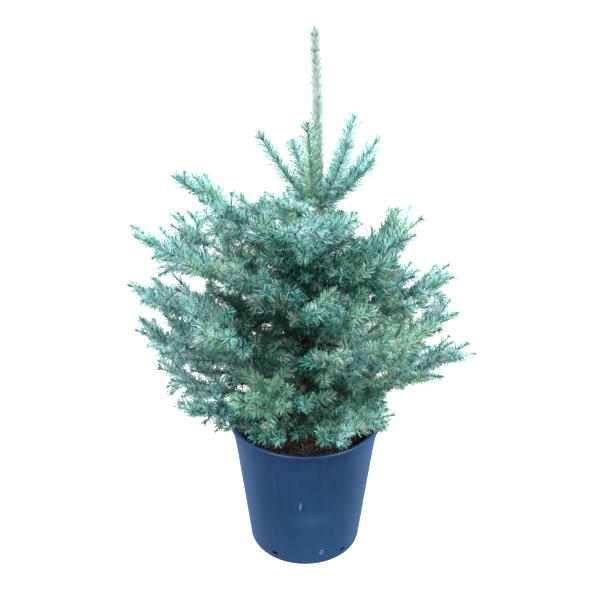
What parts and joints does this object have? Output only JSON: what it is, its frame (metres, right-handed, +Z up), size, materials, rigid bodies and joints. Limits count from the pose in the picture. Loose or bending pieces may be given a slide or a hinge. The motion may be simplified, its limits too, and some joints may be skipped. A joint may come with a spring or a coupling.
{
  "type": "potted blue spruce",
  "caption": "Young blue spruce with one bare leader and whorls of needle-clad boughs, in a round tapered nursery pot filled with soil.",
  "frame": {"origin": "centre of the pot's flat underside", "axes": "+Z up along the pot's axis; +X to the right seen from the front; the front looks along +Y"},
  "size_m": [0.624, 0.4874, 0.99],
  "materials": {
    "pot": "semi-matt dark blue plastic, lightly scuffed",
    "soil": "moist dark potting soil",
    "bark": "grey-brown young bark",
    "needles": "waxy blue-green needles"
  },
  "bodies": {
    "root": {"pot": "pot", "soil": "soil", "trunk": "bark", "leader_needles": "needles", "top_foliage_1": "needles", "top_foliage_2": "needles", "top_foliage_3": "needles", "top_foliage_4": "needles", "top_foliage_5": "needles", "top_foliage_6": "needles", "top_foliage_7": "needles", "upper_foliage_1": "needles", "upper_foliage_2": "needles", "upper_foliage_3": "needles", "upper_bough_4": "bark", "upper_foliage_4": "needles", "upper_foliage_5": "needles", "upper_foliage_6": "needles", "shoulder_foliage_1": "needles", "shoulder_foliage_2": "needles", "shoulder_foliage_3": "needles", "shoulder_foliage_4": "needles", "shoulder_bough_5": "bark", "shoulder_foliage_5": "needles", "shoulder_foliage_6": "needles", "shoulder_foliage_7": "needles", "middle_bough_1": "bark", "middle_foliage_1": "needles", "middle_foliage_2": "needles", "middle_foliage_3": "needles", "middle_bough_4": "bark", "middle_foliage_4": "needles", "middle_foliage_5": "needles", "middle_foliage_6": "needles", "middle_foliage_7": "needles", "lower_foliage_1": "needles", "lower_foliage_2": "needles", "lower_foliage_3": "needles", "lower_foliage_4": "needles", "lower_foliage_5": "needles", "lower_foliage_6": "needles", "lower_foliage_7": "needles", "skirt_foliage_1": "needles", "skirt_foliage_2": "needles", "skirt_foliage_3": "needles", "skirt_foliage_4": "needles", "skirt_foliage_5": "needles", "skirt_bough_6": "bark", "skirt_foliage_6": "needles", "skirt_foliage_7": "needles", "skirt_foliage_8": "needles", "skirt_bough_9": "bark", "skirt_foliage_9": "needles", "skirt_foliage_10": "needles", "neck_foliage_1": "needles", "neck_foliage_2": "needles", "neck_foliage_3": "needles", "inner_foliage_1": "needles", "inner_foliage_2": "needles", "inner_foliage_3": "needles"}
  },
  "joints": []
}
